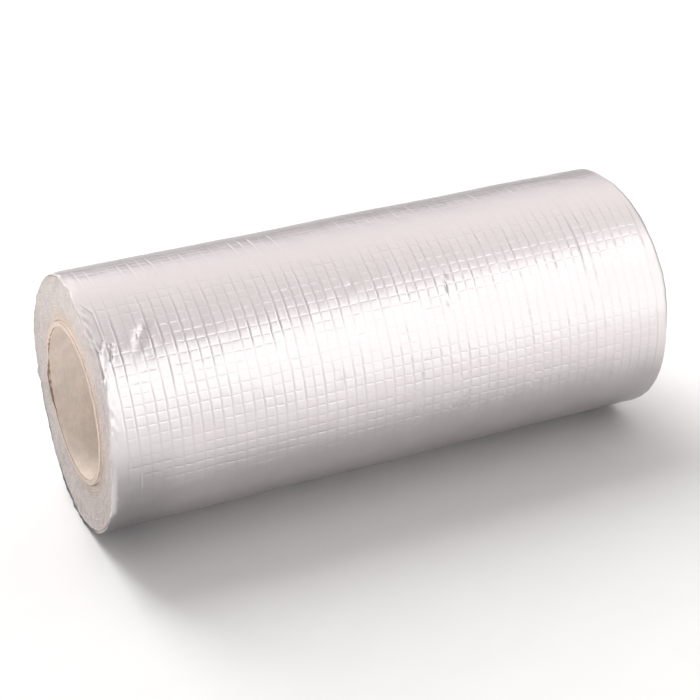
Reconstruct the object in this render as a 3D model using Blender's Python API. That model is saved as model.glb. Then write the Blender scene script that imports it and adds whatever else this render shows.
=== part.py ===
"""Roll of butyl flashing tape: foil-faced tape wound on a paperboard core, lying on its side.

Metres, +Z up. The roll's axis runs along X. The origin is on the floor, under the middle of the roll.
"""

import math

import bmesh
import bpy

# Driving dimensions of the paperboard core
CORE_BORE_DIAMETER = 0.0762
CORE_WALL = 0.0030

# Driving dimensions of the wound tape
TAPE_WIDTH = 0.3000
TURN_THICKNESS = 0.00155
TURNS = 15

# The groove that shows between two turns on each end of the roll
TURN_GROOVE_WIDTH = 0.0004
TURN_GROOVE_DEPTH = 0.0006

# Clearance between the core and the first turn
CORE_TO_TAPE_GAP = 0.0003

# Flat facets around every round surface, one of them level at the bottom
FACETS = 48
SHARP_EDGE_ANGLE = math.radians(30)

# Sizes that follow from the ones above
CORE_INNER_RADIUS = CORE_BORE_DIAMETER / 2
CORE_OUTER_RADIUS = CORE_INNER_RADIUS + CORE_WALL
CORE_LENGTH = TAPE_WIDTH
TAPE_INNER_RADIUS = CORE_OUTER_RADIUS + CORE_TO_TAPE_GAP
TAPE_OUTER_RADIUS = TAPE_INNER_RADIUS + TURNS * TURN_THICKNESS
HALF_FACET = math.pi / FACETS
AXIS_HEIGHT = TAPE_OUTER_RADIUS * math.cos(HALF_FACET)


def clear_scene():
    for obj in list(bpy.data.objects):
        bpy.data.objects.remove(obj, do_unlink=True)


def principled(name, colour, roughness, metallic):
    """A material with one Principled BSDF, set to the colour and gloss that the piece has."""
    material = bpy.data.materials.new(name)
    material.use_nodes = True
    shader = material.node_tree.nodes["Principled BSDF"]
    shader.inputs["Base Color"].default_value = (*colour, 1.0)
    shader.inputs["Roughness"].default_value = roughness
    shader.inputs["Metallic"].default_value = metallic
    return material


def turned_piece(name, profile, material):
    """Turn a closed profile of (radius, x) points round the roll's axis.

    The profile starts half a facet away from straight down, so that one facet of the outside is
    level and the roll rests on it.
    """
    mesh = bpy.data.meshes.new(name)
    piece = bpy.data.objects.new(name, mesh)
    bpy.context.scene.collection.objects.link(piece)
    piece.location = (0.0, 0.0, AXIS_HEIGHT)

    shape = bmesh.new()
    sideways = math.sin(HALF_FACET)
    downwards = -math.cos(HALF_FACET)
    corners = [shape.verts.new((x, radius * sideways, radius * downwards)) for radius, x in profile]
    edges = [shape.edges.new((a, b)) for a, b in zip(corners, corners[1:] + corners[:1])]
    bmesh.ops.spin(
        shape,
        geom=corners + edges,
        cent=(0.0, 0.0, 0.0),
        axis=(1.0, 0.0, 0.0),
        angle=2 * math.pi,
        steps=FACETS,
        use_merge=True,
    )
    bmesh.ops.recalc_face_normals(shape, faces=shape.faces)
    shape.to_mesh(mesh)
    shape.free()

    mesh.shade_smooth()
    mesh.set_sharp_from_angle(angle=SHARP_EDGE_ANGLE)
    mesh.materials.append(material)
    return piece


def core_profile():
    """The core's wall, cut along the axis: a plain rectangle."""
    half = CORE_LENGTH / 2
    return [
        (CORE_INNER_RADIUS, -half),
        (CORE_OUTER_RADIUS, -half),
        (CORE_OUTER_RADIUS, half),
        (CORE_INNER_RADIUS, half),
    ]


def end_of_turns(side):
    """The tape's edges on one end, from the core outwards: flat rings with a groove between turns."""
    end = side * TAPE_WIDTH / 2
    floor_of_groove = end - side * TURN_GROOVE_DEPTH
    points = [(TAPE_INNER_RADIUS, end)]
    for turn in range(1, TURNS):
        boundary = TAPE_INNER_RADIUS + turn * TURN_THICKNESS
        points.append((boundary - TURN_GROOVE_WIDTH / 2, end))
        points.append((boundary, floor_of_groove))
        points.append((boundary + TURN_GROOVE_WIDTH / 2, end))
    points.append((TAPE_OUTER_RADIUS, end))
    return points


def winding_profile():
    """All the turns as one section: out along one end, and back in along the other."""
    return end_of_turns(-1) + end_of_turns(1)[::-1]


def main():
    clear_scene()
    paperboard = principled("paperboard", (0.62, 0.50, 0.40), roughness=0.85, metallic=0.0)
    foil = principled("foil_faced_tape", (0.86, 0.85, 0.85), roughness=0.32, metallic=0.9)
    turned_piece("cardboard_core", core_profile(), paperboard)
    turned_piece("tape_winding", winding_profile(), foil)


main()
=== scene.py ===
"""The looks of a roll of butyl flashing tape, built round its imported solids.

World points are in metres, +Z up, and the roll lies along X. Relief is given in millimetres. A place
on the tape is its distance along the roll from the left end, and its angle round the roll in degrees
from straight up, growing towards the viewer's side (-Y).
"""

import math

import bmesh
import bpy
import numpy as np
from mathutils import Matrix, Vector


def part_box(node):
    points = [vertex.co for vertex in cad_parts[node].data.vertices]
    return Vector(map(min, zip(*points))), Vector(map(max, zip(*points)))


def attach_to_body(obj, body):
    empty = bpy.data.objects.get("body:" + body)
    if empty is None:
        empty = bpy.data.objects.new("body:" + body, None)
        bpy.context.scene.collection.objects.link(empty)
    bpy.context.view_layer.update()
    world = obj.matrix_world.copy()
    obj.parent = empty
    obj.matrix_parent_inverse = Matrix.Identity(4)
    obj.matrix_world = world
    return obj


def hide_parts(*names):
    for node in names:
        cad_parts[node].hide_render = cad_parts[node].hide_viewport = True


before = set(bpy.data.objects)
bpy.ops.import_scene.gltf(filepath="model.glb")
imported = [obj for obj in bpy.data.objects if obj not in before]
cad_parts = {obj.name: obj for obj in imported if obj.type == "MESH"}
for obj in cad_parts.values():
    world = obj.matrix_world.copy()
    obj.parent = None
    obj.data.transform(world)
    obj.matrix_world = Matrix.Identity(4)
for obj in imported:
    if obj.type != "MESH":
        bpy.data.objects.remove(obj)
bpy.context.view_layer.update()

MM = 0.001

# The roll's own sizes, read from its solids
ROLL_LOW, ROLL_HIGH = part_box("tape_winding")
AXIS_HEIGHT = (ROLL_LOW.z + ROLL_HIGH.z) / 2
ROLL_LENGTH = (ROLL_HIGH.x - ROLL_LOW.x) / MM


def radii_of(node):
    """Smallest and largest distance of a node's corners from the roll's axis, in mm."""
    corners = np.array([corner.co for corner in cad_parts[node].data.vertices])
    distance = np.hypot(corners[:, 1], corners[:, 2] - AXIS_HEIGHT) / MM
    return distance.min(), distance.max()


TAPE_INNER, TAPE_OUTER = radii_of("tape_winding")
CORE_INNER, CORE_OUTER = radii_of("cardboard_core")
MM_PER_DEGREE = math.radians(TAPE_OUTER)

# The photograph's viewing angle
CAMERA_AZIMUTH = -25.26
CAMERA_ELEVATION = 28.72
CAMERA_DISTANCE = 0.9938
CAMERA_LENS = 98.6
CAMERA_SENSOR = 36.0
CAMERA_REACH = 50.0
CAMERA_AIM = Vector((-0.0015, 0.0, AXIS_HEIGHT - 0.0051))

# Creases of the foil: hoops run round the roll, and lines run along it
HOOPS = 56
FIRST_HOOP = 5.4
HOOP_PITCH = 5.247
HOOP_BOW = 0.8
HOOP_BOW_SPAN = 45
HOOP_LEAN = 0.87
LEAN_CENTRE = 68.0
LINES = 81
LINE_PITCH = 360 / LINES
LINE_PHASE = 74.7
HOOP_WANDER = 0.09
LINE_WANDER = 0.14
CELL_UNEVENNESS = 0.045
LINE_HALF_WIDTH = 0.38

# Places of the mesh's columns beside each hoop, and of its rows beside each line, in mm
COLUMN_STEPS = (-1.5, -0.6, -0.1, 0.35, 1.1)
ROW_STEPS = (-0.75, -0.27, 0.27, 0.75)
UNDERSIDE_ROW_STEPS = (-0.6, 0.0, 0.6)
UNDERSIDE = (145.0, 262.0)

# The strip's cut end, on the side that faces away from the viewer
TAIL_ANGLE = -110.0
TAIL_STEP_WIDTH = 0.04
TAIL_CLEARANCE = 0.4
TAIL_RAMP = 58.0
TAIL_RAMP_START = 0.3
TAIL_STEP = 0.55

# The outer turn, and how many turns lie under it
OUTER_TURN_THICKNESS = 1.3
TURNS_BENEATH = 14

# How far the outer turn's edges stand from the ends of the roll: angle, mm along the roll
LEFT_EDGE = (
    (-180, -2.2), (-130, -0.5), (-110, 0.0), (-70, 0.0), (-40, 0.9), (-15, 0.7), (5, 0.0), (25, -1.5),
    (32, -1.6), (40, -0.7), (48, -1.0), (54, -1.1), (62, -1.0), (70, -2.0), (80, -3.0), (100, -3.3),
    (130, -2.7), (170, -2.5),
)
RIGHT_EDGE = (
    (-180, 0.3), (-120, -0.8), (-60, -2.0), (0, -2.8), (15, -1.9), (30, -0.9), (45, -0.3),
    (60, 0.2), (75, 0.0), (90, -0.3), (105, 0.5), (120, 1.4), (130, 1.75),
)

# How far the roll is out of round: angle, mm, and the angles over which this is smoothed
OUT_OF_ROUND = (
    (-170, 0.0), (-155, -0.5), (-130, -0.95), (-112, -0.95), (-95, -0.5), (-75, 0.0), (160, 0.0),
)
ROUND_SMOOTHING = (-12, -8, -4, 0, 4, 8, 12)

# How far the foil has worn off its left edge: angle, mm along the roll, and how softly it ends
WORN_FADE = 0.3
WORN_WIDTH = (
    (-180, -1.0), (-75, -1.0), (-52, 0.4), (-30, 0.8), (0, 0.8), (12, 0.5), (20, 0.4), (26, 0.5),
    (33, 0.8), (68, 0.8), (76, -0.3), (86, -0.2), (94, 2.2), (108, 2.6), (116, 2.0), (122, -0.5),
    (165, -1.0),
)

# Dents: along, angle, size along, size round, lean, depth
DENTS = (
    (22.8, 37.3, 2.7, 5.6, 0.54, 1.10),
    (23.3, 46.3, 1.6, 1.2, -0.5, 0.24),
    (59.0, 77.5, 2.6, 4.6, 0.2, 0.14),
    (114.0, 77.0, 1.3, 4.0, 0.45, 0.28),
    (131.0, 35.0, 1.2, 1.6, 0.5, 0.18),
)

# Creases out of line: along and angle of both ends, half width, height
CREASES = (
    (1.5, 16.0, 4.9, 22.0, 0.55, 0.28),
    (4.9, 22.0, 5.2, 36.0, 0.50, 0.20),
    (5.2, 36.0, 1.5, 41.5, 0.60, 0.42),
    (-1.5, 33.0, 1.2, 41.0, 0.60, 0.40),
    (8.6, 38.5, 5.6, 45.5, 0.60, 0.45),
    (0.6, 42.0, 0.4, 52.0, 0.80, 0.35),
    (2.2, 49.0, -0.4, 61.0, 0.70, 0.30),
    (-1.0, 60.0, -1.6, 75.0, 0.45, 0.22),
    (180.4, 38.5, 179.0, 47.0, 0.45, -0.16),
    (179.0, 47.0, 178.0, 53.5, 0.45, -0.14),
    (159.6, 74.0, 158.2, 80.0, 0.45, -0.14),
    (158.2, 80.0, 158.0, 93.0, 0.45, -0.12),
)

# The crushed corner at the top of the left end
SHOULDER_DEPTH = 0.8
SHOULDER_WIDTH = 4.5
SHOULDER_SPAN = ((-85, -45), (-20, 14))

# Loose foil along the left edge and by the first dent: how wide it is, and where it is worst
CRUMPLE_WIDTH = 3.0
CRUMPLE_LEAST = 0.35
CRUMPLE_SPAN = ((5, 20), (72, 90))
CRUMPLE_BY_DENT = 0.8
CRUMPLE_DENT_SPAN = 5.5

# The pattern is weaker on the tight band along the top, and underneath, where it is pressed
TIGHT_BAND = ((-8, 2), (13, 24))
TIGHT_LOSS = 0.7
PRESSED_FROM_TOP = (94, 114)
PRESSED_LOSS = 0.65

# Depth of the creases by the place along the roll, and the limits of their random strength
HOOP_DEPTH = ((0, 0.084), (60, 0.076), (110, 0.078), (190, 0.082), (300, 0.066))
HOOP_LIMITS = (0.45, 1.9)
HOOP_CROSSING_LIMITS = (0.25, 1.8)
LINE_DEPTH = ((0, 0.105), (60, 0.108), (200, 0.086), (300, 0.050))
LINE_CROSSING_LIMITS = (0.1, 1.9)

# Section across a hoop: a groove with a low ridge on its right
HOOP_GROOVE_PLACE = -0.35
HOOP_GROOVE_WIDTH = 0.5
HOOP_RIDGE_PLACE = 0.55
HOOP_RIDGE_WIDTH = 0.75
HOOP_RIDGE_SHARE = 0.4

# How far most hoops are broken between lines, by the place along the roll
HOOP_BREAKS = ((80, 0.0), (200, 0.75))
HOOP_BREAK_FADE = (0.2, 0.8)

# Each line stops short of the hoops, and of the roll's ends
LINE_DASH_PLACE = -0.1
LINE_DASH_FADE = (0.2, 1.1)
LINES_ALONG = ((3.5, 6.5), (293.5, 296.0))

# Grey adhesive on the foil's right edge: where it shows round the roll, and how wide it is
RIGHT_SMEAR_SPAN = ((-8, 14), (70, 92))
RIGHT_SMEAR_WIDTH = 0.75
# Painted shade along the left edge, behind and beneath: where it shows, how wide it is, how strong
LEFT_EDGE_PAINTED_SHADE_BEHIND = (55, 80)
LEFT_EDGE_PAINTED_SHADE_BENEATH = (145, 160)
LEFT_EDGE_PAINTED_SHADE_WIDTH = 0.4
LEFT_EDGE_PAINTED_SHADE_STRENGTH = 0.75

# Painted shade low on both ends: its fade along the roll and round it, and its strength
PAINTED_END_SHADE_SPANS = (((42, 8), (76, 100), 0.34), ((268, 294), (90, 114), 0.26))

# Painted shade in a hoop's groove, and how dark it is: least at the top of the roll, with a gain at
# the front and back, and as much of a loss underneath
GROOVE_SHADE_LEAST = 0.2
GROOVE_SHADE_GAIN = 0.8
GROOVE_SHADE_FROM_TOP = (30, 65)
GROOVE_SHADE_PLACE = 0.05
GROOVE_SHADE_WIDTH = 0.45

# Parts of the foil with a finer mesh: along from and to, angle from and to, cuts in each edge
FINE_PATCHES = (
    (-6.0, 12.0, 10.0, 80.0, 2),
    (17.0, 29.0, 30.0, 52.0, 1),
)


def wrapped(angle):
    """An angle as the same direction between -180 and 180 degrees."""
    return (np.asarray(angle, float) + 180) % 360 - 180


def by_angle(table, angle):
    """A value from a table of (angle, value), closed round the roll."""
    angles, values = zip(*table)
    return np.interp(wrapped(angle), angles, values, period=360)


def out_of_round(angle):
    """How far the roll's outside is from a true circle, in mm."""
    return np.mean([by_angle(OUT_OF_ROUND, angle + shift) for shift in ROUND_SMOOTHING], axis=0)


def smooth_step(value, start, end):
    """0 at start, 1 at end, smooth between them and level beyond; end may be the smaller."""
    share = np.clip((value - start) / (end - start), 0, 1)
    return share * share * (3 - 2 * share)


def plateau(value, rise, fall):
    """0 before the rise, 1 between it and the fall, and 0 after the fall, with smooth slopes."""
    return smooth_step(value, *rise) * (1 - smooth_step(value, *fall))


def by_place(table, along):
    """A value from a table of (along, value)."""
    return np.interp(along, *zip(*table))


def bell(value):
    """1 at nought, falling away on both sides to almost nothing at 2."""
    return np.exp(-np.square(value))


def waves(seed, along, angle, size, longest, shortest, most_round, count=14):
    """Smooth random heights of about the given size, closed round the roll."""
    random = np.random.default_rng(seed)
    total = 0.0
    for _ in range(count):
        length = random.uniform(shortest, longest)
        times_round = random.integers(-most_round, most_round + 1)
        phase = random.uniform(0, 2 * math.pi)
        total = total + np.cos(2 * math.pi * along / length + np.radians(angle) * times_round + phase)
    return total * size * math.sqrt(2 / count)


def ripple(seed, angle, size, most_round, count=14):
    """Smooth random heights that vary only round the roll."""
    return waves(seed, 0.0, angle, size, 2.0, 1.0, most_round, count)


def crossings(seed, spread):
    """A random number for each crossing of a hoop and a line, with a spare hoop at both ends."""
    return np.random.default_rng(seed).normal(0.0, spread, (HOOPS + 2, LINES))


def at_crossings(values, hoop, line):
    """Values between the crossings, where hoop and line are counts with fractions."""
    hoop = np.clip(hoop + 1, 0, HOOPS + 0.999)
    hoop_before = np.floor(hoop).astype(int)
    line_before = np.floor(line).astype(int)
    hoop_share = hoop - hoop_before
    line_share = line - line_before
    this_line = line_before % LINES
    next_line = (line_before + 1) % LINES
    before = values[hoop_before, this_line] * (1 - line_share)
    before += values[hoop_before, next_line] * line_share
    after = values[hoop_before + 1, this_line] * (1 - line_share)
    after += values[hoop_before + 1, next_line] * line_share
    return before * (1 - hoop_share) + after * hoop_share


HOOP_PLACES = crossings(seed=1, spread=HOOP_WANDER)
LINE_PLACES = crossings(seed=2, spread=LINE_WANDER)
CELL_HEIGHTS = crossings(seed=3, spread=CELL_UNEVENNESS)
HOOP_DEPTHS = crossings(seed=4, spread=0.35)
LINE_DEPTHS = crossings(seed=5, spread=0.45)
HOOP_STRENGTHS = np.random.default_rng(6).normal(1.0, 0.3, HOOPS)

# The hoops near the right end that run on unbroken and deep
LONG_HOOPS = [48, 49, 55]
HOOP_STRENGTHS[LONG_HOOPS] = 1.45


def line_at(angle):
    """Count of axial lines at an angle, with its fraction."""
    return (np.asarray(angle, float) - LINE_PHASE) / LINE_PITCH


def hoop_lean(angle):
    """How far the hoops lie from their place at the front, in mm."""
    off_centre = np.clip(wrapped(angle) - LEAN_CENTRE, -90, 90)
    return HOOP_LEAN * (1 - np.cos(np.radians(2 * off_centre)))


def hoop_bow(hoop):
    """How far a hoop is past its place in an even row, most in the middle of the row."""
    return HOOP_BOW * np.sin(math.pi * np.clip(hoop / HOOP_BOW_SPAN, 0, 1))


def hoop_place(hoop, angle):
    """Where a hoop is along the roll at an angle, in mm."""
    wander = at_crossings(HOOP_PLACES, hoop, line_at(angle))
    return FIRST_HOOP + HOOP_PITCH * hoop + hoop_bow(hoop) + hoop_lean(angle) + wander


def nearest_hoop(along, angle):
    """The number of the hoop that a place is closest to."""
    guess = (along - FIRST_HOOP - hoop_lean(angle)) / HOOP_PITCH
    return np.clip(np.round(guess - hoop_bow(guess) / HOOP_PITCH), 0, HOOPS - 1)


def left_edge(angle):
    uneven = ripple(seed=7, angle=angle, size=0.14, most_round=60, count=24)
    return by_angle(LEFT_EDGE, angle) + uneven


def right_edge(angle):
    uneven = ripple(seed=8, angle=angle, size=0.10, most_round=60, count=24)
    return ROLL_LENGTH + by_angle(RIGHT_EDGE, angle) + uneven


def adhesive_and_painted_shade(along, angle):
    """Adhesive on the right edge, painted shade on the left edge and low on the ends, for the
    material.
    """
    angle = wrapped(angle)
    from_right = (right_edge(angle) - along) / RIGHT_SMEAR_WIDTH
    on_right = plateau(angle, *RIGHT_SMEAR_SPAN) * np.clip(1 - from_right, 0, 1)
    # Painted shade: a dark line along the left edge, behind and beneath
    left_side = smooth_step(-angle, *LEFT_EDGE_PAINTED_SHADE_BEHIND) + smooth_step(angle, *LEFT_EDGE_PAINTED_SHADE_BENEATH)
    painted_left_edge_shade = LEFT_EDGE_PAINTED_SHADE_STRENGTH * left_side * (along < left_edge(angle) + LEFT_EDGE_PAINTED_SHADE_WIDTH)
    return on_right + painted_left_edge_shade + painted_end_shade(along, angle)


def painted_end_shade(along, angle):
    """Painted shade low on both ends, darkening the underside where the foil mirrors the floor."""
    total = 0.0
    for near_end, low_down, strength in PAINTED_END_SHADE_SPANS:
        reach = smooth_step(along, *near_end) * smooth_step(wrapped(angle), *low_down)
        total = total + strength * reach
    return total


def worn(along, angle):
    """Where the pale film under the foil shows along its left edge, from 0 to 1, for the material."""
    width = by_angle(WORN_WIDTH, angle) + ripple(seed=40, angle=angle, size=0.22, most_round=70)
    return np.clip((left_edge(angle) + width - along) / WORN_FADE, 0, 1)


def pattern_strength(angle):
    """The pattern hardly shows on the top of the roll, where the foil is tight, and underneath."""
    on_top = plateau(wrapped(angle), *TIGHT_BAND)
    return 1 - TIGHT_LOSS * on_top - PRESSED_LOSS * underneath(angle)


def underneath(angle):
    """1 on the side that the roll lies on, which is pressed smooth, and 0 on the front and top."""
    return smooth_step(np.abs(wrapped(angle)), *PRESSED_FROM_TOP)


def hoop_creases(along, angle, hoop, across):
    """Grooves round the roll: a fall on the left of each, and a low ridge on its right."""
    line = line_at(angle)
    strength = np.clip(HOOP_STRENGTHS[hoop.astype(int)], *HOOP_LIMITS)
    strength = strength * np.clip(1 + at_crossings(HOOP_DEPTHS, hoop, line), *HOOP_CROSSING_LIMITS)
    from_line = np.abs(line - np.round(line)) * LINE_PITCH * MM_PER_DEGREE
    broken = by_place(HOOP_BREAKS, along) * ~np.isin(hoop, LONG_HOOPS)
    strength = strength * (1 - broken * (1 - smooth_step(from_line, *HOOP_BREAK_FADE)))
    groove = -bell((across - HOOP_GROOVE_PLACE) / HOOP_GROOVE_WIDTH)
    ridge = HOOP_RIDGE_SHARE * bell((across - HOOP_RIDGE_PLACE) / HOOP_RIDGE_WIDTH)
    return by_place(HOOP_DEPTH, along) * strength * pattern_strength(angle) * (groove + ridge)


def line_creases(along, angle, hoop_count, across):
    """Grooves along the roll, each broken into a dash between two hoops."""
    line = line_at(angle)
    nearest = np.round(line)
    wander = at_crossings(LINE_PLACES, hoop_count, nearest)
    from_line = (line - nearest) * LINE_PITCH * MM_PER_DEGREE - wander
    strength = np.clip(1 + at_crossings(LINE_DEPTHS, hoop_count, nearest), *LINE_CROSSING_LIMITS)
    dash = smooth_step(np.abs(across - LINE_DASH_PLACE), *LINE_DASH_FADE)
    within_ends = plateau(along, *LINES_ALONG)
    depth = by_place(LINE_DEPTH, along) * strength * pattern_strength(angle) * within_ends
    return -depth * dash * bell(from_line / LINE_HALF_WIDTH)


def groove_painted_shade(along, angle):
    """Painted shade in a hoop's groove, from 0 to 1, for the material."""
    hoop = nearest_hoop(along, angle)
    across = along - hoop_place(hoop, angle)
    gain = smooth_step(np.abs(wrapped(angle)), *GROOVE_SHADE_FROM_TOP) - underneath(angle)
    grey = GROOVE_SHADE_LEAST + GROOVE_SHADE_GAIN * gain
    return grey * bell((across - GROOVE_SHADE_PLACE) / GROOVE_SHADE_WIDTH)


def dents(along, angle):
    """Hollows pressed into the foil."""
    total = 0.0
    for place, at_angle, size_along, size_round, lean, depth in DENTS:
        round_it = (wrapped(angle) - at_angle) * MM_PER_DEGREE
        beside = along - place + lean * round_it
        total = total - depth * bell(beside / size_along) * bell(round_it / size_round)
    return total


def stray_creases(along, angle):
    """Folds that don't follow the pattern, as the distance from short straight lines."""
    total = 0.0
    for start, start_angle, end, end_angle, half_width, height in CREASES:
        down = (wrapped(angle) - start_angle) * MM_PER_DEGREE
        run = np.array([end - start, (end_angle - start_angle) * MM_PER_DEGREE])
        share = np.clip(((along - start) * run[0] + down * run[1]) / run.dot(run), 0, 1)
        distance = np.hypot(along - start - share * run[0], down - share * run[1])
        total = total + height * bell(distance / half_width)
    return total


def shoulder(along, angle):
    """The crushed corner of the outer turn, at the top of the left end."""
    side = plateau(wrapped(angle), *SHOULDER_SPAN)
    return -SHOULDER_DEPTH * side * (1 - smooth_step(along - left_edge(angle), 0.0, SHOULDER_WIDTH))


def crumple(along, angle):
    """Loose foil along the left edge, worst where the viewer sees it from the front."""
    dent_place, dent_angle = DENTS[0][:2]
    near_edge = bell((along - left_edge(angle)) / CRUMPLE_WIDTH)
    near_dent = bell((along - dent_place) / CRUMPLE_WIDTH)
    near_dent = near_dent * bell((wrapped(angle) - dent_angle) / CRUMPLE_DENT_SPAN)
    side = plateau(wrapped(angle), *CRUMPLE_SPAN)
    small = waves(9, along, angle, size=0.10, longest=9.0, shortest=2.5, most_round=90, count=30)
    return (near_edge * (CRUMPLE_LEAST + side) + CRUMPLE_BY_DENT * near_dent) * small


def relief(along, angle):
    """Height of the foil above the roll's outside radius, in mm."""
    hoop = nearest_hoop(along, angle)
    across = along - hoop_place(hoop, angle)
    hoop_count = hoop + across / HOOP_PITCH
    swells = waves(10, along, angle, size=0.10, longest=220.0, shortest=60.0, most_round=5)
    height = out_of_round(angle) + swells
    height = height + waves(11, along, angle, size=0.025, longest=45.0, shortest=14.0, most_round=16)
    height = height + at_crossings(CELL_HEIGHTS, hoop_count, line_at(angle))
    height = height + hoop_creases(along, angle, hoop, across)
    height = height + line_creases(along, angle, hoop_count, across)
    height = height + dents(along, angle) + stray_creases(along, angle) + shoulder(along, angle)
    return height + crumple(along, angle)


def tail_drop(angle):
    """How much lower the outside is just past the strip's cut end, where the turn below shows."""
    past = (TAIL_ANGLE - wrapped(angle)) % 360
    ramp = 1 - smooth_step(past, TAIL_RAMP_START * TAIL_RAMP, TAIL_RAMP)
    on_low_side = (past > TAIL_STEP_WIDTH / 2) & (past < TAIL_RAMP)
    return np.where(on_low_side, -TAIL_STEP * ramp, 0.0)


def place(along, angle, radius):
    """World points in metres; the roll is pressed flat where it rests on the floor."""
    turn = np.radians(angle)
    x = ROLL_LOW.x + along * MM
    y = -radius * MM * np.sin(turn)
    z = AXIS_HEIGHT + radius * MM * np.cos(turn)
    return np.stack([x + 0 * y, y + 0 * x, np.maximum(z, ROLL_LOW.z) + 0 * x], axis=-1)


def foil_points(along, angle):
    """Points of the foil's surface."""
    return place(along, angle, TAPE_OUTER + relief(along, angle) + tail_drop(angle))


# Half the distance over which the foil's slopes are taken, in mm
NORMAL_STEP = 0.05


def foil_normals(along, angle):
    """Directions square to the foil, from the slopes of its relief."""
    turn = NORMAL_STEP / MM_PER_DEGREE
    lengthways = foil_points(along + NORMAL_STEP, angle) - foil_points(along - NORMAL_STEP, angle)
    round_it = foil_points(along, angle + turn) - foil_points(along, angle - turn)
    normals = np.cross(round_it, lengthways)
    return normals / np.linalg.norm(normals, axis=-1, keepdims=True)


def closed_grid(rows, columns):
    """Quads of a grid that closes on itself both ways, and the column and row each starts in."""
    row, column = np.meshgrid(np.arange(rows), np.arange(columns), indexing="ij")
    next_row = (row + 1) % rows
    next_column = (column + 1) % columns
    corners = [
        row * columns + column,
        next_row * columns + column,
        next_row * columns + next_column,
        row * columns + next_column,
    ]
    return np.stack(corners, axis=-1).reshape(-1, 4), column.ravel(), row.ravel()


def mesh_object(name, points, faces, materials, face_material=None):
    """An object with smooth shading, whose points may still be moved by the caller."""
    mesh = bpy.data.meshes.new(name)
    mesh.from_pydata(points.reshape(-1, 3).tolist(), [], faces)
    for material in materials:
        mesh.materials.append(material)
    if face_material is not None:
        mesh.polygons.foreach_set("material_index", face_material.astype(np.int32))
    mesh.shade_smooth()
    piece = bpy.data.objects.new(name, mesh)
    bpy.context.scene.collection.objects.link(piece)
    return piece


# Edges bent by more than this many degrees stay sharp
SHARP_EDGE_ANGLE = 70


def face_outwards(piece):
    """Turn all faces outwards, and let the large ones set the shading beside narrow creases."""
    shape = bmesh.new()
    shape.from_mesh(piece.data)
    bmesh.ops.recalc_face_normals(shape, faces=shape.faces)
    shape.to_mesh(piece.data)
    shape.free()
    piece.data.set_sharp_from_angle(angle=math.radians(SHARP_EDGE_ANGLE))
    weighted = piece.modifiers.new("weighted_normals", "WEIGHTED_NORMAL")
    weighted.keep_sharp = True


def attach(piece, node):
    """Say which body a piece rides on, and hide the solid that it stands for."""
    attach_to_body(piece, "root")
    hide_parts(node)


def set_values(mesh, name, values):
    """Keep one number for each corner point, which the material reads by its name."""
    attribute = mesh.attributes.new(name, "FLOAT", "POINT")
    attribute.data.foreach_set("value", np.asarray(values, np.float32))


def row_places():
    """Angles of the outer turn's rows and the line that each goes with, from the cut end round."""
    rows = [(TAIL_ANGLE, 0, 0.0)]
    first_line = math.ceil((TAIL_ANGLE - LINE_PHASE) / LINE_PITCH)
    for line in range(first_line, first_line + LINES):
        angle = LINE_PHASE + line * LINE_PITCH
        beneath = UNDERSIDE[0] < angle % 360 < UNDERSIDE[1]
        for step in UNDERSIDE_ROW_STEPS if beneath else ROW_STEPS:
            row_angle = angle + step / MM_PER_DEGREE
            if TAIL_ANGLE + TAIL_CLEARANCE < row_angle < TAIL_ANGLE + 360 - TAIL_CLEARANCE:
                rows.append((row_angle, line, 1.0))
    rows.append((TAIL_ANGLE + 360 - TAIL_STEP_WIDTH, 0, 0.0))
    return [np.array(values) for values in zip(*rows)]


# Rings of the outer turn's edges: mm past the edge, mm below the surface. The left ones go from the
# inside out and the right ones back in, and the foil covers the outer few of each.
LEFT_RIM = ((0.3, 1.30), (0.15, 0.95), (0.3, 0.55), (-0.30, 0.42), (-0.35, 0.16), (0.0, 0.0))
RIGHT_RIM = ((0.0, 0.0), (0.20, 0.16), (0.15, 0.42), (-0.25, 0.55), (-0.10, 0.95), (-0.3, 1.30))
FOIL_RINGS = 3

# Past this angle the foil is turned over the whole of the left edge
FOIL_RIM_ANGLE = 150.0

# The foil's uneven lip: its share of the rings' places, and how deep the rings are that follow it
LIP_MEAN = 0.6
LIP_LIMITS = (0.2, 1.8)
LIP_DEPTH = 0.5

# The mesh's columns between the left edge and the first hoop, and between the last and the right
SHARES_BEFORE_HOOPS = (0.14, 0.36, 0.42, 0.7)
SHARES_AFTER_HOOPS = (0.35, 0.65, 0.9)

# The foil's relief fades out down its cut edges: mm below the surface
RELIEF_DEPTH = 0.9

# The foil's own shading: above this depth in mm, and this many degrees from the cut end
SURFACE_DEPTH = 0.01
TAIL_MARGIN = 0.5


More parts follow.
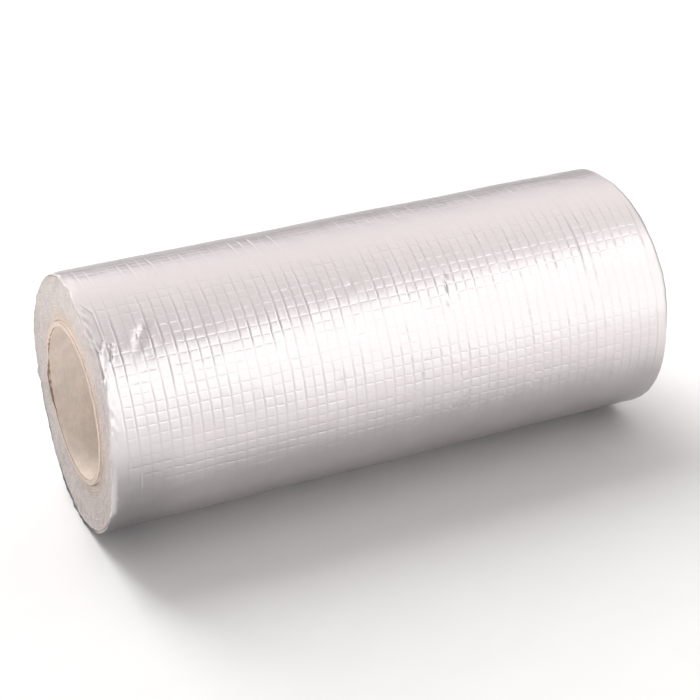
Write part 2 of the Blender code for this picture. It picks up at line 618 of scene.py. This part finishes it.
def outer_turn_places():
    """Along, angle and depth below the surface of every point of the outer turn."""
    angle, line, follows = row_places()
    uneven = ripple(seed=12, angle=angle, size=0.45, most_round=70, count=24)
    lip = np.clip(LIP_MEAN + uneven, *LIP_LIMITS)
    start = left_edge(angle)
    end = right_edge(angle)
    columns = []
    for past, below in LEFT_RIM:
        along = start + past * np.where(below < LIP_DEPTH, lip, 1.0)
        columns.append((along, below, None))
    first = hoop_place(np.zeros_like(angle), angle) + COLUMN_STEPS[0]
    for share in SHARES_BEFORE_HOOPS:
        columns.append((start + (first - start) * share, 0.0, -1 + share))
    for hoop in range(HOOPS):
        centre = hoop_place(np.full_like(angle, hoop), angle)
        for step in COLUMN_STEPS:
            columns.append((centre + step, 0.0, hoop + step / HOOP_PITCH))
    last = hoop_place(np.full_like(angle, HOOPS - 1), angle) + COLUMN_STEPS[-1]
    for share in SHARES_AFTER_HOOPS:
        columns.append((last + (end - last) * share, 0.0, HOOPS - 1 + share))
    for past, below in RIGHT_RIM:
        columns.append((end + past, below, None))
    points = np.zeros((len(angle), len(columns), 3))
    for number, (along, below, hoop_count) in enumerate(columns):
        count = -1.0 if hoop_count is None else hoop_count
        wander = at_crossings(LINE_PLACES, np.full_like(angle, count), line.astype(float))
        points[:, number, 0] = along
        points[:, number, 1] = angle + follows * wander / MM_PER_DEGREE
        points[:, number, 2] = below
    return points


def refine(mesh):
    """Divide the faces that lie in the fine patches, while the mesh is still laid out flat."""
    shape = bmesh.new()
    shape.from_mesh(mesh)
    for left, right, low, high, cuts in FINE_PATCHES:
        edges = set()
        for face in shape.faces:
            inside = all(
                left < corner.co.x < right and low < corner.co.y < high and corner.co.z < RELIEF_DEPTH
                for corner in face.verts
            )
            if inside:
                edges.update(face.edges)
        bmesh.ops.subdivide_edges(shape, edges=list(edges), cuts=cuts, use_grid_fill=True)
    shape.to_mesh(mesh)
    shape.free()


def wrap_round(mesh):
    """Take the points of the flat layout to their places on the roll, with the material's values."""
    flat = np.zeros(len(mesh.vertices) * 3)
    mesh.vertices.foreach_get("co", flat)
    along, angle, below = flat.reshape(-1, 3).T
    on_surface = np.clip(1 - below / RELIEF_DEPTH, 0, 1)
    height = relief(along, angle) * on_surface + tail_drop(angle) - below
    world = place(along, angle, TAPE_OUTER + height)
    mesh.vertices.foreach_set("co", world.ravel())
    mesh.update()
    from_tail = np.abs(wrapped(angle - TAIL_ANGLE))
    on_foil = (below < SURFACE_DEPTH) & (from_tail > TAIL_MARGIN)
    # Painted shade in the hoops' grooves, for the material
    set_values(mesh, "groove_painted_shade", np.where(on_foil, groove_painted_shade(along, angle), 0.0))
    # Grey adhesive on the right edge, and painted shade on the left edge and low on both ends
    set_values(mesh, "adhesive_and_painted_shade", adhesive_and_painted_shade(along, angle))
    set_values(mesh, "worn", worn(along, angle))
    normals = np.where(on_foil[:, None], foil_normals(along, angle), 0.0)
    mesh.normals_split_custom_set_from_vertices(normals.tolist())


def outer_turn(foil, tape_edge):
    """The last turn of the tape: foil with creases outside, its cut edges on both ends, and its tail.
    """
    points = outer_turn_places()
    rows, columns = points.shape[:2]
    faces, column, row = closed_grid(rows, columns)
    left_rings = len(LEFT_RIM) - FOIL_RINGS
    right_rings = columns - len(RIGHT_RIM) + FOIL_RINGS - 1
    foil_over_rim = np.abs(wrapped(points[:, 0, 1])) > FOIL_RIM_ANGLE
    on_left_edge = (column < left_rings) & ~foil_over_rim[row]
    is_edge = on_left_edge | (column >= right_rings) | (row == rows - 1)
    piece = mesh_object("outer_turn", points, faces.tolist(), (foil, tape_edge), is_edge)
    refine(piece.data)
    wrap_round(piece.data)
    attach(piece, "tape_winding")
    return piece


# Radial places across one turn's edge, and how far each stands out from the end, in mm
TURN_SECTION = ((0.0, -0.30), (0.10, -0.02), (0.36, 0.10), (0.64, 0.12), (0.88, 0.0))
END_ANGLES = 384

# The ends are slightly coned: how steeply they leave the core's end, and mm inside the outer turn
CONE_POWER = 1.4
CONE_INSET = 0.25
TURNS_OVERLAP = 0.02

# The rings dip where the tail ends: degrees before it, and how the dip starts and ends
DIP_LEAD = 10
DIP_START = (0, 14)
DIP_END = (30, TAIL_RAMP + 8)

# The wound turns' sides that don't show: mm past the rings that do, and mm in from the ends
HIDDEN_INSIDE = 0.05
HIDDEN_OUTSIDE = 0.15
HIDDEN_INNER_INSET = 3.0
HIDDEN_OUTER_INSET = 4.0


def end_face(side, angle):
    """Rings of one end of the winding: radius and along, from the core outwards."""
    edge = left_edge(angle) if side < 0 else right_edge(angle) - ROLL_LENGTH
    outside = TAPE_OUTER - OUTER_TURN_THICKNESS + TURNS_OVERLAP
    pitch = (outside - TAPE_INNER) / TURNS_BENEATH
    past_tail = (TAIL_ANGLE + DIP_LEAD - wrapped(angle)) % 360
    dip = TAIL_STEP * smooth_step(past_tail, *DIP_START)
    dip = dip * (1 - smooth_step(past_tail, *DIP_END))
    rings = []
    for turn in range(TURNS_BENEATH):
        wander = ripple(seed=100 + turn, angle=angle, size=0.10, most_round=7)
        stands = ripple(seed=200 + turn + 50 * (side > 0), angle=angle, size=0.11, most_round=9)
        for share, out in TURN_SECTION:
            radius = TAPE_INNER + pitch * (turn + share)
            if turn > 0:
                radius = radius + wander * (1 - share)
            seed = 300 + turn * 7 + int(share * 10)
            rough = ripple(seed, angle, size=0.035, most_round=170, count=20)
            grown = (radius - TAPE_INNER) / (outside - TAPE_INNER)
            cone = (edge - side * CONE_INSET) * grown**CONE_POWER
            radius = radius + (out_of_round(angle) - dip) * grown
            rings.append((radius, cone + side * (out + stands + rough)))
    return rings


def wound_turns(tape_edge):
    """The turns under the last one: their edges on both ends, and plain sides that don't show."""
    angle = np.arange(END_ANGLES) * 360 / END_ANGLES

    def hidden(radius, along):
        return radius + 0 * angle, np.full_like(angle, along)

    rings = end_face(-1, angle)
    inside = TAPE_INNER - HIDDEN_INSIDE
    outside = rings[-1][0] + HIDDEN_OUTSIDE
    columns = [hidden(inside, HIDDEN_INNER_INSET)]
    columns += rings
    columns.append(hidden(outside, HIDDEN_OUTER_INSET))
    columns.append(hidden(outside, ROLL_LENGTH - HIDDEN_OUTER_INSET))
    columns += [(radius, ROLL_LENGTH + along) for radius, along in end_face(1, angle)[::-1]]
    columns.append(hidden(inside, ROLL_LENGTH - HIDDEN_INNER_INSET))
    points = np.stack([place(along, angle, radius) for radius, along in columns], axis=1)
    faces, _, _ = closed_grid(*points.shape[:2])
    piece = mesh_object("wound_turns", points, faces.tolist(), (tape_edge,))
    face_outwards(piece)
    attach(piece, "tape_winding")
    return piece


CORE_ANGLES = 300

# How far the core stands out of the tape on both ends, and over what length the bore makes up for it
CORE_STANDS_OUT = 1.0
STANDS_OUT_REACH = 8.0

# Places of points along the bore: the first, those between, and the last from the right end, in mm
FIRST_STATIONS = (0.0, 0.5, 1.2, 2.5)
STATION_START = 6.0
STATION_STEP = 4.0
LAST_STATIONS = (1.5, 0.3)

# The seam that winds once along the bore, and the length over which it starts
SEAM_GROOVE = 0.28
SEAM_RIDGE = 0.10
SEAM_START = 3.0

# The frayed part of the left rim: where it is, how far it stands, and its pull on the bore and ring
TORN_SPAN = ((-125, -105), (-60, -35))
FRAY_LIMITS = (-0.2, 1.4)
FRAY_REACH = 1.5
BORE_FRAY_INWARDS = 0.8
BORE_FRAY_OUTWARDS = 0.9
RING_FRAY_INWARDS = 0.4
RING_FRAY_OUTWARDS = 0.7

# Rings of the core's ends: share of the wall's thickness, and mm out from the end
LEFT_CORE_RINGS = ((0.08, 0.12), (0.3, 0.16), (0.55, 0.10), (0.8, 0.14), (0.97, 0.0))
RIGHT_CORE_RINGS = ((0.95, 0.0), (0.6, 0.12), (0.3, 0.12), (0.06, 0.05))
CORE_SIDE_INSET = 0.5


def bore_stations():
    """Places of points along the bore, from the left."""
    between = np.arange(STATION_START, ROLL_LENGTH - 3, STATION_STEP)
    last, end = LAST_STATIONS
    return [*FIRST_STATIONS, *between, ROLL_LENGTH - last, ROLL_LENGTH - end + CORE_STANDS_OUT]


def bore_columns(angle, frays):
    """The spiral-wound wall of the bore from right to left: radius, along and angle."""
    from_seam = np.abs(np.arange(CORE_ANGLES) - CORE_ANGLES // 2)
    seam = np.where(from_seam < 1, -SEAM_GROOVE, np.where(from_seam < 2, SEAM_RIDGE, 0.0))
    columns = []
    for station in bore_stations()[::-1]:
        twist = 360 * station / ROLL_LENGTH
        lip = bell(station / FRAY_REACH) * frays
        uneven = waves(21, station, angle + twist, size=0.06, longest=160, shortest=40, most_round=4)
        radius = CORE_INNER - seam * min(1.0, station / SEAM_START) + uneven - BORE_FRAY_INWARDS * lip
        out = CORE_STANDS_OUT * max(0.0, 1 - station / STANDS_OUT_REACH)
        columns.append((radius, station - out - BORE_FRAY_OUTWARDS * lip, angle + twist))
    return columns


def core_end_columns(angle, frays):
    """The core's left ring, its plain outside and its right ring: radius, along and angle."""
    wall = CORE_OUTER - CORE_INNER
    fuzz = ripple(seed=22, angle=angle, size=0.05, most_round=120, count=40)
    columns = []
    for share, out in LEFT_CORE_RINGS:
        radius = CORE_INNER + wall * share - RING_FRAY_INWARDS * frays * (1 - share)
        out = out + CORE_STANDS_OUT
        columns.append((radius, fuzz - out - RING_FRAY_OUTWARDS * frays * (1 - share), angle))
    for along in (CORE_SIDE_INSET, ROLL_LENGTH - CORE_SIDE_INSET):
        columns.append((np.full_like(angle, CORE_OUTER), np.full_like(angle, along), angle))
    for share, out in RIGHT_CORE_RINGS:
        radius = np.full_like(angle, CORE_INNER + wall * share)
        columns.append((radius, ROLL_LENGTH + CORE_STANDS_OUT + out + fuzz[::-1], angle))
    return columns


def core_tube(paperboard):
    """The paperboard tube: a wound bore with a seam, and end rings that are frayed on the left."""
    angle = np.arange(CORE_ANGLES) * 360 / CORE_ANGLES
    uneven = ripple(seed=20, angle=angle, size=0.5, most_round=80, count=40)
    frays = np.clip(uneven, *FRAY_LIMITS) * plateau(wrapped(angle), *TORN_SPAN)
    columns = bore_columns(angle, frays) + core_end_columns(angle, frays)
    points = np.stack([place(along, turned, radius) for radius, along, turned in columns], axis=1)
    faces, _, _ = closed_grid(*points.shape[:2])
    piece = mesh_object("core_tube", points, faces.tolist(), (paperboard,))
    face_outwards(piece)
    attach(piece, "cardboard_core")
    return piece


# The torn strand of paper on the bore's far edge: along, angle, radius of its points
STRAND_PATH = (
    (1.2, -84.0, 38.0), (-0.2, -88.0, 38.3), (-0.9, -93.0, 38.0), (-1.1, -99.0, 37.2),
    (-1.0, -106.0, 36.6), (-0.8, -113.0, 36.4), (-0.4, -120.0, 36.9), (0.6, -126.0, 37.8),
)
STRAND_WIDTH = 0.42
STRAND_THICKNESS = 0.16
STRAND_SIDES = 8
STRAND_STEPS = 60
STRAND_SMOOTHING = 7
STRAND_TIP = 0.12


def paper_strand(paperboard):
    """A thin flat shred of the core's inner ply, lifted from the edge of the bore."""
    stations = np.linspace(0, len(STRAND_PATH) - 1, STRAND_STEPS)
    knots = np.arange(len(STRAND_PATH))
    kernel = np.ones(STRAND_SMOOTHING) / STRAND_SMOOTHING
    path = []
    for values in zip(*STRAND_PATH):
        values = np.interp(stations, knots, values)
        values = np.pad(values, STRAND_SMOOTHING // 2, mode="edge")
        path.append(np.convolve(values, kernel, mode="valid"))
    along, angle, radius = path
    taper = np.sin(np.linspace(STRAND_TIP, math.pi - STRAND_TIP, STRAND_STEPS)) ** 0.5
    wobble = ripple(seed=30, angle=stations * 40, size=0.12, most_round=9)
    points = []
    for side in range(STRAND_SIDES):
        turn = 2 * math.pi * side / STRAND_SIDES
        sideways = math.cos(turn) * STRAND_WIDTH * taper * (1 + wobble)
        upwards = math.sin(turn) * STRAND_THICKNESS * taper
        points.append(place(along + sideways - CORE_STANDS_OUT, angle, radius + upwards + wobble))
    points = np.stack(points, axis=1)
    faces = []
    for here in range(0, (STRAND_STEPS - 1) * STRAND_SIDES, STRAND_SIDES):
        there = here + STRAND_SIDES
        for side in range(STRAND_SIDES):
            next_side = (side + 1) % STRAND_SIDES
            faces.append((here + side, there + side, there + next_side, here + next_side))
    first_end = tuple(range(STRAND_SIDES))
    last_end = tuple(range(len(faces), len(faces) + STRAND_SIDES))
    piece = mesh_object("paper_strand", points, faces + [first_end, last_end], (paperboard,))
    face_outwards(piece)
    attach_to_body(piece, "root")
    return piece


class Nodes:
    """Short ways to add shader nodes to one material or world."""

    def __init__(self, owner):
        owner.use_nodes = True
        self.tree = owner.node_tree

    def add(self, kind, inputs=None, **settings):
        node = self.tree.nodes.new(kind)
        for name, value in settings.items():
            setattr(node, name, value)
        for name, value in (inputs or {}).items():
            self.feed(node.inputs[name], value)
        return node

    def feed(self, socket, value):
        if isinstance(value, bpy.types.NodeSocket):
            self.tree.links.new(value, socket)
        else:
            socket.default_value = value

    def math(self, operation, first, second=0.0, third=0.0):
        inputs = {0: first, 1: second, 2: third}
        return self.add("ShaderNodeMath", inputs, operation=operation).outputs[0]

    def map_range(self, value, span, reach=(0.0, 1.0)):
        """A value mapped in a straight line from one span to another, and held at its ends."""
        inputs = {"Value": value, "From Min": span[0], "From Max": span[1]}
        inputs.update({"To Min": reach[0], "To Max": reach[1]})
        return self.add("ShaderNodeMapRange", inputs).outputs[0]

    def noise(self, place, scale, detail=3.0, roughness=0.5):
        inputs = {"Vector": place, "Scale": scale, "Detail": detail, "Roughness": roughness}
        return self.add("ShaderNodeTexNoise", inputs).outputs[0]

    def ramp(self, value, stops):
        """Colours or greys at places between 0 and 1."""
        node = self.add("ShaderNodeValToRGB", {"Fac": value})
        elements = node.color_ramp.elements
        while len(elements) < len(stops):
            elements.new(1.0)
        for element, (position, colour) in zip(elements, stops):
            element.position = position
            is_colour = isinstance(colour, tuple)
            element.color = (*colour, 1.0) if is_colour else (colour, colour, colour, 1.0)
        return node.outputs["Color"]

    def mix(self, share, first, second, blend_type="MIX"):
        node = self.add("ShaderNodeMix", data_type="RGBA", blend_type=blend_type)
        self.feed(node.inputs[0], share)
        self.feed(node.inputs[6], first)
        self.feed(node.inputs[7], second)
        return node.outputs[2]

    def bump(self, height, distance, strength=1.0, normal=None):
        inputs = {"Height": height, "Distance": distance, "Strength": strength}
        node = self.add("ShaderNodeBump", inputs)
        if normal is not None:
            self.feed(node.inputs["Normal"], normal)
        return node.outputs["Normal"]

    def point_value(self, name):
        """The number that set_values kept for each corner point."""
        return self.add("ShaderNodeAttribute", attribute_name=name).outputs["Fac"]

    def stretched(self, coordinates, scale):
        return self.add("ShaderNodeMapping", {"Vector": coordinates, "Scale": scale}).outputs[0]

    def around_axis(self, coordinates):
        """Distance from the roll's axis in metres, and the node with the place's X, Y and Z."""
        parts = self.add("ShaderNodeSeparateXYZ", {"Vector": coordinates})
        height = self.math("SUBTRACT", parts.outputs["Z"], AXIS_HEIGHT)
        across = self.math("MULTIPLY", parts.outputs["Y"], parts.outputs["Y"])
        squares = self.math("MULTIPLY_ADD", height, height, across)
        return self.math("SQRT", squares), parts


# Colours of the materials, as they reflect light, and stops of a ramp with such colours
FOIL_COLOURS = ((0.75, 0.710, 0.710, 1.0), (0.79, 0.752, 0.754, 1.0))
FOIL_GLANCING_COLOUR = (0.82, 0.82, 0.84, 1.0)
FOIL_ROUGHNESS = (0.30, 0.37)
# The painted shade in the hoops' grooves
GROOVE_SHADE_COLOUR = (0.725, 0.685, 0.685, 1.0)
# Grey of the adhesive, also used for the painted shade on the left edge and low on both ends
ADHESIVE_AND_SHADE_COLOUR = (0.16, 0.16, 0.165, 1.0)
WORN_COLOUR = (0.79, 0.755, 0.745, 1.0)
OUTER_TAPE_STOPS = ((0.30, (0.45, 0.395, 0.375)), (0.62, (0.66, 0.605, 0.585)))
INNER_TAPE_STOPS = ((0.30, (0.49, 0.39, 0.32)), (0.62, (0.70, 0.59, 0.51)))
PAPER_STOPS = ((0.28, (0.82, 0.71, 0.625)), (0.68, (0.93, 0.835, 0.75)))
PAPER_END_SHADE = (0.74, 0.70, 0.69, 1.0)
PAPER_RIM_COLOUR = (0.33, 0.215, 0.14, 1.0)
WHITE = (1.0, 1.0, 1.0, 1.0)

# The tape's edges are creamier up to this many mm from the core, and the core's ends are brown for
# this many mm and near the edges of its wall
CREAMY_WIDTH = 8
BROWN_LENGTH = 0.4
BROWN_WALL = (0.72, 0.98)


def new_material(name):
    material = bpy.data.materials.new(name)
    nodes = Nodes(material)
    shader = nodes.tree.nodes["Principled BSDF"]
    coordinates = nodes.add("ShaderNodeTexCoord").outputs["Object"]
    return material, nodes, shader, coordinates


def foil_material():
    """Laminated aluminium foil: bright, a little pink, with fine crinkles and rolling streaks."""
    material, nodes, shader, coordinates = new_material("foil_face")
    crinkle = nodes.noise(coordinates, scale=620.0, detail=3.0, roughness=0.6)
    streaks = nodes.noise(nodes.stretched(coordinates, (60.0, 900.0, 900.0)), scale=1.0, detail=2.0)
    patches = nodes.noise(coordinates, scale=85.0, detail=2.0)
    tone = nodes.mix(patches, *FOIL_COLOURS)
    # Painted shade in the hoops' grooves
    tone = nodes.mix(nodes.point_value("groove_painted_shade"), tone, GROOVE_SHADE_COLOUR)
    # Grey adhesive on the right edge, and painted shade on the left edge and low on both ends
    tone = nodes.mix(nodes.point_value("adhesive_and_painted_shade"), tone, ADHESIVE_AND_SHADE_COLOUR)
    bare = nodes.point_value("worn")
    tone = nodes.mix(bare, tone, WORN_COLOUR)
    nodes.feed(shader.inputs["Metallic"], nodes.math("SUBTRACT", 1.0, bare))
    nodes.feed(shader.inputs["Base Color"], tone)
    nodes.feed(shader.inputs["Roughness"], nodes.map_range(patches, (0.3, 0.7), FOIL_ROUGHNESS))
    shader.inputs["Specular Tint"].default_value = FOIL_GLANCING_COLOUR
    normal = nodes.bump(crinkle, distance=0.00003, strength=0.6)
    normal = nodes.bump(streaks, distance=0.00002, strength=0.6, normal=normal)
    nodes.feed(shader.inputs["Normal"], normal)
    return material


def tape_edge_material():
    """Cut edges of butyl, foil and liner: pale pinkish grey, mottled, and creamier near the core."""
    material, nodes, shader, coordinates = new_material("tape_edge")
    radius, _ = nodes.around_axis(coordinates)
    outward = nodes.map_range(radius, (TAPE_INNER * MM, (TAPE_INNER + CREAMY_WIDTH) * MM))
    grain = nodes.noise(coordinates, scale=900.0, detail=4.0, roughness=0.65)
    blotches = nodes.noise(coordinates, scale=190.0, detail=3.0, roughness=0.6)
    outer_tone = nodes.ramp(grain, OUTER_TAPE_STOPS)
    inner_tone = nodes.ramp(grain, INNER_TAPE_STOPS)
    tone = nodes.mix(outward, inner_tone, outer_tone)
    shade = nodes.ramp(blotches, ((0.3, 0.82), (0.65, 1.0)))
    tone = nodes.mix(1.0, tone, shade, "MULTIPLY")
    nodes.feed(shader.inputs["Base Color"], tone)
    shader.inputs["Roughness"].default_value = 0.72
    normal = nodes.bump(grain, distance=0.00012, strength=0.8)
    normal = nodes.bump(blotches, distance=0.0002, strength=0.5, normal=normal)
    nodes.feed(shader.inputs["Normal"], normal)
    return material


def paperboard_material():
    """Tan paperboard: fibres, faint mottling, and brown edges on the end rings."""
    material, nodes, shader, coordinates = new_material("paperboard")
    lengthways = nodes.stretched(coordinates, (700.0, 260.0, 260.0))
    fibres = nodes.noise(lengthways, scale=1.0, detail=5.0, roughness=0.65)
    mottle = nodes.noise(coordinates, scale=120.0, detail=3.0, roughness=0.6)
    tone = nodes.ramp(fibres, PAPER_STOPS)
    shade = nodes.ramp(mottle, ((0.3, 0.88), (0.7, 1.0)))
    tone = nodes.mix(1.0, tone, shade, "MULTIPLY")
    radius, parts = nodes.around_axis(coordinates)
    middle = (CORE_INNER + CORE_OUTER) / 2 * MM
    half_wall = (CORE_OUTER - CORE_INNER) / 2 * MM
    from_middle = nodes.math("ABSOLUTE", nodes.math("SUBTRACT", radius, middle))
    at_rims = nodes.map_range(from_middle, [half_wall * share for share in BROWN_WALL])
    past_end = nodes.math("SUBTRACT", nodes.math("ABSOLUTE", parts.outputs["X"]), ROLL_HIGH.x)
    brown_part = ((CORE_STANDS_OUT - BROWN_LENGTH) * MM, CORE_STANDS_OUT * MM)
    near_end = nodes.map_range(past_end, brown_part)
    tone = nodes.mix(1.0, tone, nodes.mix(near_end, WHITE, PAPER_END_SHADE), "MULTIPLY")
    tone = nodes.mix(nodes.math("MULTIPLY", at_rims, near_end), tone, PAPER_RIM_COLOUR)
    nodes.feed(shader.inputs["Base Color"], tone)
    shader.inputs["Roughness"].default_value = 0.9
    nodes.feed(shader.inputs["Normal"], nodes.bump(fibres, distance=0.00008, strength=0.7))
    return material


def floor_material():
    """A pale matte studio floor with a trace of grain."""
    material, nodes, shader, coordinates = new_material("studio_floor")
    grain = nodes.noise(coordinates, scale=40.0, detail=2.0)
    nodes.feed(shader.inputs["Base Color"], nodes.ramp(grain, ((0.0, 0.905), (1.0, 0.935))))
    shader.inputs["Roughness"].default_value = 0.9
    shader.inputs["Specular IOR Level"].default_value = 0.1
    return material


FLOOR_HALF_SIZE = 6.0


def studio_floor():
    """A wide level floor under the roll."""
    corners = FLOOR_HALF_SIZE * np.array([(-1, -1, 0), (1, -1, 0), (1, 1, 0), (-1, 1, 0)])
    floor = mesh_object("studio_floor", corners, [(0, 1, 2, 3)], (floor_material(),))


# Brightness of the studio by the angle over the roll: 0 behind it, 0.5 straight up and 1 in front
SKY_STOPS = (
    (0.0, 0.0), (0.035, 0.33), (0.065, 0.72), (0.12, 0.95), (0.18, 1.06), (0.27, 1.20), (0.35, 1.18),
    (0.43, 1.07), (0.49, 0.99), (0.54, 0.99), (0.59, 0.96), (0.66, 0.54), (0.75, 0.20), (1.0, 0.12),
)
SKY_TINT = (1.0, 0.968, 0.958, 1.0)

# Gain on it by the direction along X, from 0 at -X to 1 at +X
SIDE_GAIN = (
    (0.0, 0.43), (0.25, 0.49), (0.42, 0.72), (0.52, 0.74), (0.62, 0.83), (0.76, 1.02), (0.86, 1.08),
    (0.93, 0.55), (1.0, 0.35),
)

# The same for light that comes from low behind the roll
BACK_GAIN = (
    (0.0, 1.25), (0.60, 1.42), (0.635, 1.12), (0.67, 1.00), (0.70, 0.97), (0.73, 1.02), (0.76, 1.12),
    (1.0, 1.0),
)

# Where the gains for behind and for low behind take over, by the direction along Y
BEHIND_FADE = (0.2, 0.8)
BEHIND_GAIN = (0.95, 0.95, 0.95, 1.0)
LOW_BEHIND_FADE = (0.68, 0.83)


def studio_world():
    """Soft light from all round, strongest from above and behind."""
    world = bpy.data.worlds.new("studio_world")
    bpy.context.scene.world = world
    nodes = Nodes(world)
    direction = nodes.add("ShaderNodeTexCoord").outputs["Generated"]
    parts = nodes.add("ShaderNodeSeparateXYZ", {"Vector": direction})
    over = nodes.math("ARCTAN2", parts.outputs["Z"], parts.outputs["Y"])
    light = nodes.ramp(nodes.math("DIVIDE", over, math.pi), SKY_STOPS)
    tinted = nodes.mix(1.0, light, SKY_TINT, "MULTIPLY")
    background = nodes.tree.nodes["Background"]
    nodes.feed(background.inputs["Color"], tinted)
    sideways = nodes.map_range(parts.outputs["X"], (-1.0, 1.0))
    behind = nodes.map_range(parts.outputs["Y"], BEHIND_FADE)
    low_behind = nodes.map_range(parts.outputs["Y"], LOW_BEHIND_FADE)
    gain = nodes.mix(behind, nodes.ramp(sideways, SIDE_GAIN), BEHIND_GAIN)
    gain = nodes.mix(low_behind, gain, nodes.ramp(sideways, BACK_GAIN))
    nodes.feed(background.inputs["Strength"], gain)


def soft_box(name, azimuth, elevation, distance, size, brightness, aim, spread):
    """A large area light; its brightness is its radiance."""
    data = bpy.data.lights.new(name, "AREA")
    data.shape = "RECTANGLE"
    data.size, data.size_y = size
    data.energy = math.pi * brightness * size[0] * size[1]
    data.spread = math.radians(spread)
    light = bpy.data.objects.new(name, data)
    face(light, aim, azimuth, elevation, distance)
    return light


def face(thing, aim, azimuth, elevation, distance):
    """Put a light or camera where it faces its aim; azimuth 0 is straight in front of the roll."""
    around = math.radians(azimuth)
    above = math.radians(elevation)
    level = math.cos(above)
    back = Vector((math.sin(around) * level, -math.cos(around) * level, math.sin(above)))
    thing.location = Vector(aim) + back * distance
    thing.rotation_euler = back.to_track_quat("Z", "Y").to_euler()
    bpy.context.scene.collection.objects.link(thing)


def camera():
    """A camera where the photograph was taken from, fitted to the roll's outline."""
    data = bpy.data.cameras.new("camera")
    data.lens = CAMERA_LENS
    data.sensor_width = CAMERA_SENSOR
    data.clip_end = CAMERA_REACH
    view = bpy.data.objects.new("camera", data)
    face(view, CAMERA_AIM, CAMERA_AZIMUTH, CAMERA_ELEVATION, CAMERA_DISTANCE)
    bpy.context.scene.camera = view


# Azimuth, elevation, distance, size, brightness, aim and spread of the lights. The foil mirrors the
# first three, which light nothing else, and it doesn't mirror the others.
MIDDLE = (0.0, 0.0, AXIS_HEIGHT)
LEFT_END = (ROLL_LOW.x, 0.0, AXIS_HEIGHT + 0.09)
FLOOR_IN_FRONT = (0.32, -0.50, 0.0)
MIRRORED_LIGHTS = {
    "key_light": (34, 26, 1.5, (1.40, 1.82), 1.23, MIDDLE, 180),
    "side_light": (-16, 22, 1.5, (1.40, 1.26), 0.88, MIDDLE, 180),
    "low_light": (38, 3, 1.5, (0.9, 0.28), 0.13, MIDDLE, 180),
}
SOFT_LIGHTS = {
    "top_light": (-162, 51, 2.3, (1.0, 2.0), 6.4, MIDDLE, 180),
    "end_fill": (-50, 12, 1.1, (0.3, 0.2), 0.76, LEFT_END, 14),
    "floor_fill": (40, 62, 1.2, (0.3, 0.3), 0.8, FLOOR_IN_FRONT, 32),
}


def studio_lights():
    """Three lights for the bright bands on the foil, and three for everything else."""
    for name, settings in MIRRORED_LIGHTS.items():
        soft_box(name, *settings).visible_diffuse = False
    for name, settings in SOFT_LIGHTS.items():
        soft_box(name, *settings).visible_glossy = False


def main():
    camera()
    studio_world()
    studio_floor()
    studio_lights()
    bpy.context.scene.view_settings.view_transform = "Standard"

    foil = foil_material()
    tape_edge = tape_edge_material()
    paperboard = paperboard_material()
    outer_turn(foil, tape_edge)
    wound_turns(tape_edge)
    core_tube(paperboard)
    paper_strand(paperboard)


main()
